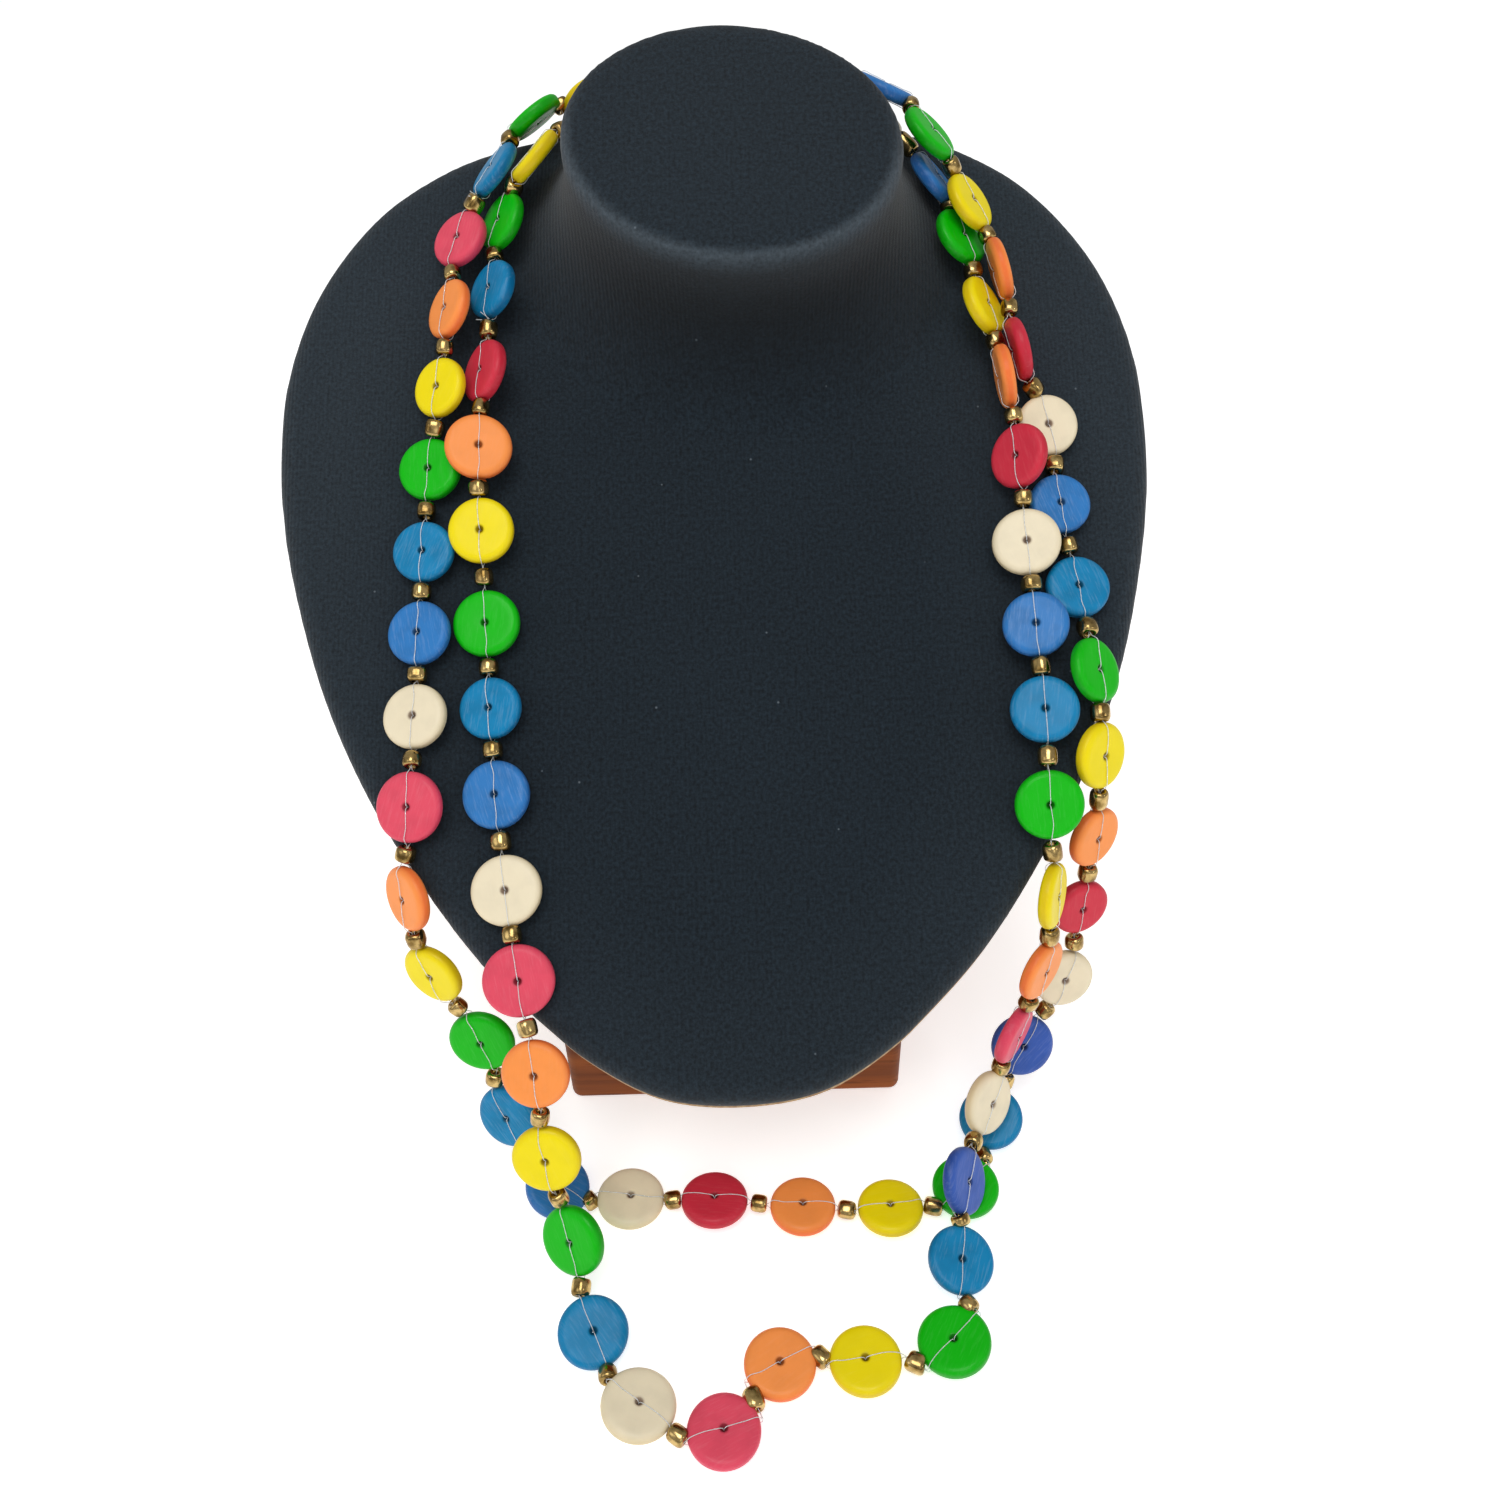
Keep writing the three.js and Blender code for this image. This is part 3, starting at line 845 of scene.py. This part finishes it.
def board_outline(grow):
    """The board's outline, moved outwards by grow and turned in the board's own plane."""
    right = [Vector((half * BOARD_WIDTH / 2, up * BOARD_LENGTH, 0)) for up, half in BOARD_OUTLINE]
    points = even_steps(right + [Vector((-p.x, p.y, 0)) for p in right[-2:0:-1]])
    middle = Vector((0, BOARD_LENGTH / 2, 0))
    turn = Matrix.Rotation(BOARD_TURN, 3, "Z")
    moved = []
    for i, point in enumerate(points):
        along = (points[(i + 1) % OUTLINE_STEPS] - points[i - 1]).normalized()
        grown = point + Vector((along.y, -along.x, 0)) * grow
        moved.append(middle + turn @ (grown - middle))
    return moved


def stacked_rings(rings):
    """Points and faces of a closed solid through rings of equal count, the first one lowest."""
    count = len(rings[0])
    points = [p for ring in rings for p in ring]
    faces = ring_faces(0, len(rings), count, False)
    faces.append(tuple(reversed(range(count))))
    faces.append(tuple(range(len(points) - count, len(points))))
    return points, faces


def board_rings(thickness, edge, top, grow=0.0):
    """Rings of a board with rounded edges, its front face at height top."""
    curve = [(edge * (1 - math.sin(a)), edge * (1 - math.cos(a))) for a in EDGE_ANGLES]
    back = [(inset, top - thickness + rise) for inset, rise in curve]
    front = [(inset, top - drop) for inset, drop in reversed(curve)]
    return [
        [Vector((p.x, p.y, height)) for p in board_outline(grow - inset)]
        for inset, height in back + front
    ]


def neck_rings():
    """Rings of the neck, which flares into the board and rounds over at the cap."""
    turn = Matrix.Rotation(NECK_TURN, 3, "Z")
    angles = [math.tau * k / NECK_SIDES for k in range(NECK_SIDES)]
    rings = []
    for step in NECK_STEPS:
        below = 1 - max(step, 0)
        flare = below**FLARE_CURVE
        depth = max((step - 1) * NECK_RISE + CAP_EDGE, 0)
        inset = CAP_EDGE - math.sqrt(max(CAP_EDGE**2 - depth**2, 0))
        half = CAP_WIDTH / 2 + SIDE_FLARE * flare - inset
        front = CAP_FRONT - FRONT_FLARE * flare + inset
        back = CAP_BACK + BACK_FLARE * below**BACK_FLARE_CURVE - inset
        middle = Vector((NECK_SHIFT, (front + back) / 2, step * NECK_RISE))
        reach = (back - front) / 2
        oval = [Vector((half * math.cos(a), reach * math.sin(a), 0)) for a in angles]
        rings.append([middle + turn @ point for point in oval])
    return rings


def bust_solids():
    """The board and the neck as one mesh of two solids, in the bust's own directions."""
    mesh = bmesh.new()
    for rings in (board_rings(BOARD_THICKNESS, BOARD_EDGE, 0), neck_rings()):
        points, faces = stacked_rings(rings)
        made = [mesh.verts.new(p * MM) for p in points]
        for face in faces:
            mesh.faces.new([made[i] for i in face])
    data = bpy.data.meshes.new("bust_cover")
    mesh.to_mesh(data)
    mesh.free()
    return data


def bust_skin():
    """The board and the neck under one even skin."""
    piece = link_object("bust_cover", bust_solids())
    remesh = piece.modifiers.new("skin", "REMESH")
    remesh.mode = "VOXEL"
    remesh.voxel_size = SKIN_VOXEL
    soften = piece.modifiers.new("soften", "SMOOTH")
    soften.factor = SKIN_SMOOTHING
    soften.iterations = SKIN_ROUNDS
    bpy.context.view_layer.update()
    graph = bpy.context.evaluated_depsgraph_get()
    skin = bpy.data.meshes.new_from_object(piece.evaluated_get(graph))
    piece.modifiers.clear()
    piece.data = skin
    return piece


# The cloth's paling. On the board it is painted light, paler to the edges than in the middle, growing
# with the distance from a point some way up its length, counted in half widths and in a share of its
# length
BOARD_PAINTED_LIGHT = 0.2
BOARD_LIGHT_MIDDLE = 0.42
BOARD_LIGHT_LENGTH = 0.6
# On the neck it is wear: slight, but strong in a narrow band along the cap's front edge
NECK_WEAR = 0.06
BAND_WEAR = 0.8
BAND_PLACE = 0.97
BAND_WIDTH = 0.035
# The share of the neck's rise where the board's painted light ends and the neck's wear begins
LIGHT_AND_WEAR_LIMIT = 0.5
# How dark the painted shade on the front of the neck gets
NECK_PAINTED_SHADE = 0.62


def share_between(value, start, end):
    """0 at start, 1 at end, and held beyond them."""
    return max(0, min(1, (value - start) / (end - start)))


def cloth_wear_and_painted_light(point):
    """How much paler the cloth is at a point of the bust: painted light on the board, wear on the neck.
    """
    step = point.z / NECK_RISE
    if step < LIGHT_AND_WEAR_LIMIT:
        # On the board: painted light, paler towards the edges
        along = (point.y / BOARD_LENGTH - BOARD_LIGHT_MIDDLE) / BOARD_LIGHT_LENGTH
        return BOARD_PAINTED_LIGHT * share_between(math.hypot(point.x / (BOARD_WIDTH / 2), along), 0.45, 0.95)
    reach = Matrix.Rotation(-NECK_TURN, 3, "Z") @ (point - Vector((NECK_SHIFT, CAP_MIDDLE, point.z)))
    along = reach.y / ((CAP_BACK - CAP_FRONT) / 2)
    ring = math.hypot(reach.x / (CAP_WIDTH / 2), along)
    band = math.exp(-((ring - BAND_PLACE) / BAND_WIDTH) ** 2) * share_between(along, 0.35, -0.15)
    return NECK_WEAR + BAND_WEAR * band * share_between(step, LIGHT_AND_WEAR_LIMIT, 0.8)


def neck_painted_shade(point):
    """How dark the painted shade is at a point: on the front of the neck, between its foot and the cap.
    """
    step = point.z / NECK_RISE
    front = share_between(point.y, CAP_MIDDLE + 20, CAP_MIDDLE - 10)
    return NECK_PAINTED_SHADE * front * min(share_between(step, 0, 0.5), share_between(step, 0.93, 0.83))


def covered_cloth():
    """Brushed cotton drill in charcoal navy, glued over a board: matt, with a fine twill that shows
    as close lines, lint caught in the nap, a paler line where wear pales the cap's edge, painted light
    paler towards the board's edges, and painted shade on the front of the neck."""
    material, tree, shader = blank_material("charcoal_cotton_drill")
    place = attribute(tree, "cloth", "Vector")
    # The place is in mm: ribs 0.9 mm apart, about twice as coarse as real ones so that they show
    weave = {"Vector": place, "Scale": 0.35, "Distortion": 1.6, "Detail": 2.0, "Detail Scale": 2.0}
    ribs = add(tree, "ShaderNodeTexWave", weave, bands_direction="X").outputs["Fac"]
    # Nap in tufts of about 0.8 mm, and broad patches of about 50 mm
    nap = noise(tree, place, 1.2, 5.0, 0.75)
    patch = noise(tree, place, 0.02, 3.0)
    # Flecks of lint about half a millimetre wide and 9 mm apart
    cells = add(tree, "ShaderNodeTexVoronoi", {"Vector": place, "Scale": 0.11, "Randomness": 1.0})
    lint = span(tree, cells.outputs["Distance"], (0.02, 0.034), (0.55, 0))
    # Paler cloth: painted light towards the board's edges, and wear on the neck and along the cap's edge
    wear_and_light_mask = maths(tree, "MULTIPLY", attribute(tree, "wear_and_painted_light"), nap)
    colour = ramp(tree, nap, linear("#070D12"), linear("#202D37"), (0.38, 0.64))
    broad = ramp(tree, patch, linear("#10171D"), linear("#1C252D"), (0.3, 0.7))
    colour = mix(tree, 0.25, colour, broad)
    colour = mix(tree, maths(tree, "MULTIPLY", ribs, 0.08), colour, linear("#28323A"))
    colour = mix(tree, lint, colour, linear("#6E7880"))
    # Paling from painted light on the board and from wear on the neck
    colour = mix(tree, wear_and_light_mask, colour, linear("#5A646C"))
    # Painted shade, darker on the front of the neck
    colour = mix(tree, attribute(tree, "shade"), colour, linear("#04070A"))
    height = maths(tree, "MULTIPLY_ADD", ribs, 0.4, nap)
    varied = {"Base Color": colour, "Normal": relief(tree, height, 0.5, 0.0003)}
    uniform = {"Roughness": 0.95, "Specular IOR Level": 0.2}
    uniform.update({"Sheen Weight": 0.12, "Sheen Roughness": 0.5})
    finish_shader(tree, shader, varied, uniform)
    return material


def make_bust():
    piece = bust_skin()
    mesh = piece.data
    local = [v.co / MM for v in mesh.vertices]
    add_field(mesh, "cloth", local)
    # Painted light on the board, and wear on the neck
    add_field(mesh, "wear_and_painted_light", [cloth_wear_and_painted_light(p) for p in local])
    # Painted shade on the front of the neck
    add_field(mesh, "shade", [neck_painted_shade(p) for p in local])
    for vertex, point in zip(mesh.vertices, local):
        vertex.co = (BUST_FRAME @ point) * MM
    mesh.materials.clear()
    mesh.materials.append(covered_cloth())
    smooth(mesh)
    hand_in(piece, ["bust_form"])


def raw_board():
    """Thin raw plywood with a sanded edge: pale tan, with long soft grain."""
    material, tree, shader = blank_material("raw_plywood")
    # Grain lines about 1.4 mm apart and 20 mm long, up the board
    grain = noise(tree, stretched(tree, object_place(tree), (700, 50, 50)), 1.0, 4.0)
    varied = {
        "Base Color": ramp(tree, grain, linear("#A98560"), linear("#D2B48F"), (0.3, 0.7)),
        "Normal": relief(tree, grain, 0.2, 0.0002),
    }
    finish_shader(tree, shader, varied, {"Roughness": 0.75})
    return material


PANEL_EDGE = 0.5


def make_panel():
    top = -BOARD_THICKNESS - SEAT_GAP
    points, faces = stacked_rings(board_rings(PANEL_THICKNESS, PANEL_EDGE, top, PANEL_LIP))
    placed = [BUST_FRAME @ p for p in points]
    add_piece("back_board", placed, faces, [raw_board()], ["back_panel"])


def stained_wood():
    """Solid acacia, stained red brown and wiped with oil: satin, with dark pores along the grain and
    broad streaks."""
    material, tree, shader = blank_material("stained_acacia")
    place = object_place(tree)
    # The grain runs across the foot's front: pores about 1 mm wide and 17 mm long, and streaks
    # about 4 mm high and 80 mm long
    pores = noise(tree, stretched(tree, place, (60, 900, 900)), 1.0, 4.0, 0.6)
    streaks = noise(tree, stretched(tree, place, (12, 70, 240)), 1.0, 3.0, distortion=0.3)
    colour = ramp(tree, streaks, linear("#6B3311"), linear("#97501E"), (0.3, 0.7))
    colour = mix(tree, span(tree, pores, (0.56, 0.7), (0, 0.6)), colour, linear("#42200D"))
    varied = {
        "Base Color": colour,
        "Roughness": span(tree, pores, given=(0.38, 0.6)),
        "Normal": relief(tree, pores, 0.2, 0.0002),
    }
    finish_shader(tree, shader, varied, {"Specular IOR Level": 0.1})
    return material


FOOT_EASE = 2.4
FOOT_EASE_STEPS = 5


def foot_top(y):
    """The height of the foot's top under the back of the board, at a place y from front to back."""
    drop = (BOARD_THICKNESS + PANEL_THICKNESS + 2 * SEAT_GAP) / math.cos(BOARD_SLOPE)
    return APEX_HEIGHT + (y + APEX_REACH) * math.tan(BOARD_SLOPE) - drop


def make_foot():
    """The foot: a block whose top follows the back of the board, with eased edges."""
    front, back, right = -FOOT_DEPTH / 2, FOOT_DEPTH / 2, FOOT_WIDTH / 2
    profile = [(front, 0), (back, 0), (back, foot_top(back)), (front, foot_top(front))]
    mesh = bmesh.new()
    sides = [[mesh.verts.new(Vector((x, y, z)) * MM) for y, z in profile] for x in (-right, right)]
    mesh.faces.new(sides[0][::-1])
    mesh.faces.new(sides[1])
    for k in range(4):
        after = (k + 1) % 4
        mesh.faces.new((sides[0][k], sides[0][after], sides[1][after], sides[1][k]))
    bmesh.ops.recalc_face_normals(mesh, faces=mesh.faces)
    bmesh.ops.bevel(mesh, geom=mesh.edges[:], offset=FOOT_EASE * MM, segments=FOOT_EASE_STEPS,
                    affect="EDGES", profile=0.5)
    data = bpy.data.meshes.new("foot_block")
    mesh.to_mesh(data)
    mesh.free()
    data.materials.append(stained_wood())
    smooth(data)
    hand_in(link_object("foot_block", data), ["wooden_foot"])


make_bust()
make_panel()
make_foot()


# The floor and the light. The floor glows a little and lies just below the
# part; its lengths are in metres.

FLOOR_REACH = 6.0
FLOOR_DROP = 0.0002
FLOOR_GREY = (0.92, 0.92, 0.92, 1)
FLOOR_GLOW = 0.55
SKY_STRENGTH = 0.44


def make_floor():
    material, tree, shader = blank_material("pale_floor")
    uniform = {"Base Color": FLOOR_GREY, "Roughness": 0.9}
    uniform.update({"Emission Color": WHITE, "Emission Strength": FLOOR_GLOW})
    finish_shader(tree, shader, {}, uniform)
    mesh = bpy.data.meshes.new("floor")
    ways = ((-1, -1), (1, -1), (1, 1), (-1, 1))
    corners = [(x * FLOOR_REACH, y * FLOOR_REACH, -FLOOR_DROP) for x, y in ways]
    mesh.from_pydata(corners, [], [(0, 1, 2, 3)])
    mesh.materials.append(material)
    link_object("floor", mesh)


# Soft lamps: place and size in metres, and power in watts; each one faces the bust
LAMPS = {
    "overhead": ((-0.1, -0.5, 1.3), 0.8, 8.2),
    "front": ((0.3, -1.4, 0.8), 0.7, 1.3),
    "left": ((-1.1, -0.6, 0.8), 0.6, 1.2),
    "right": ((1.1, -0.7, 0.7), 0.2, 0.9),
}
AIM = Vector((0, -0.01, 0.1))


def make_light():
    world = bpy.data.worlds.new("studio")
    world.use_nodes = True
    sky = world.node_tree.nodes["Background"]
    sky.inputs["Color"].default_value = WHITE
    sky.inputs["Strength"].default_value = SKY_STRENGTH
    bpy.context.scene.world = world
    for name, (place, size, power) in LAMPS.items():
        data = bpy.data.lights.new(name, "AREA")
        data.size = size
        data.energy = power
        lamp = link_object(name, data)
        lamp.location = place
        lamp.rotation_mode = "QUATERNION"
        lamp.rotation_quaternion = (AIM - lamp.location).to_track_quat("-Z", "Y")
    bpy.context.scene.view_settings.view_transform = "Standard"


make_floor()
make_light()
